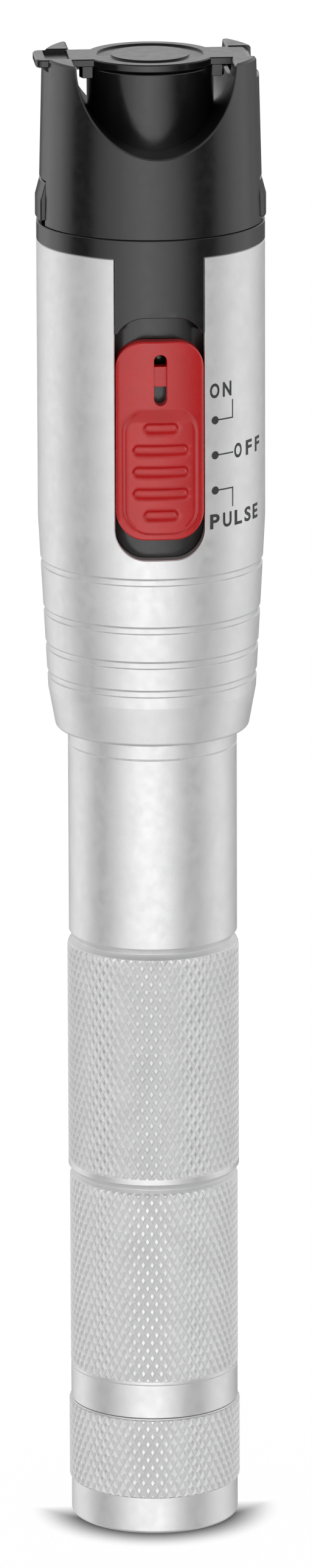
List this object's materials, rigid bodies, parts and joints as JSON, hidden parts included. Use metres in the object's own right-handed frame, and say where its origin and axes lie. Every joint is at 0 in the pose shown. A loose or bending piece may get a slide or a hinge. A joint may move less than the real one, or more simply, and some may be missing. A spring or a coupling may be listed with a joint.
{
  "type": "visual fault locator",
  "caption": "Pen-size red light source for finding breaks in optical fibre, with a knurled metal barrel, a three-position slider and a 2.5 mm ferrule port under a flip lid.",
  "frame": {"origin": "centre of the flat end of the tail cap", "axes": "+Z along the barrel towards the ferrule port, -Y out of the slider's face, +X towards the lid's hinge"},
  "size_m": [0.0263, 0.0266, 0.1731],
  "materials": {
    "anodised_silver": "bead-blasted and clear anodised, satin",
    "black_plastic": "fine moulded satin",
    "red_plastic": "satin",
    "spring_steel": "drawn wire",
    "port_steel": "turned and polished",
    "plated_brass": "turned",
    "diode_gold": "gold plated",
    "white_ceramic": "polished zirconia",
    "lens_glass": "polished",
    "board_green": "solder mask",
    "switch_tin": "tinned",
    "led_green": "clear green resin, unlit",
    "chip_black": "moulded epoxy",
    "cell_jacket": "plain plastic film on a metal can",
    "black_rubber": "smooth"
  },
  "bodies": {
    "housing": {"head_shell": "anodised_silver", "battery_tube": "anodised_silver", "tail_o_ring": "black_rubber", "battery_rear": "cell_jacket", "battery_front": "cell_jacket", "inner_carrier": "black_plastic", "nose_collar": "black_plastic", "lid_hinge_pin": "spring_steel", "port_housing": "black_plastic", "ferrule_port": "port_steel", "alignment_sleeve": "white_ceramic", "laser_mount": "plated_brass", "focusing_lens": "lens_glass", "laser_diode": "diode_gold", "circuit_board": "board_green", "slide_switch": "switch_tin", "indicator_led": "led_green", "driver_chip": "chip_black", "contact_disc": "board_green", "positive_contact": "plated_brass"},
    "lid": {"dust_lid": "black_plastic"},
    "slider": {"switch_slider": "red_plastic", "switch_lever": "black_plastic"},
    "tail_contact": {"spring_seat": "plated_brass", "tail_spring": "spring_steel"},
    "tail_screw_cap": {"tail_cap": "anodised_silver"}
  },
  "joints": [
    {"name": "lid_hinge", "type": "hinge", "parent": "housing", "child": "lid", "pos_m": [0.01062, 0, 0.17205], "axis": [0, 1, 0], "range_deg": [0, 110]},
    {"name": "switch_slide", "type": "slide", "parent": "housing", "child": "slider", "axis": [0, 0, 1], "range_m": [-0.002, 0.002]},
    {"name": "tail_slide", "type": "slide", "parent": "housing", "child": "tail_contact", "axis": [0, 0, -1], "range_m": [0, 0.007]},
    {"name": "tail_turn", "type": "hinge", "parent": "tail_contact", "child": "tail_screw_cap", "pos_m": [0, 0, 0], "axis": [0, 0, -1], "range_deg": [0, 2520]}
  ],
  "couplings": [
    {"joint": "tail_slide", "follows": "tail_turn", "m_per_rad": 0.00015915}
  ]
}
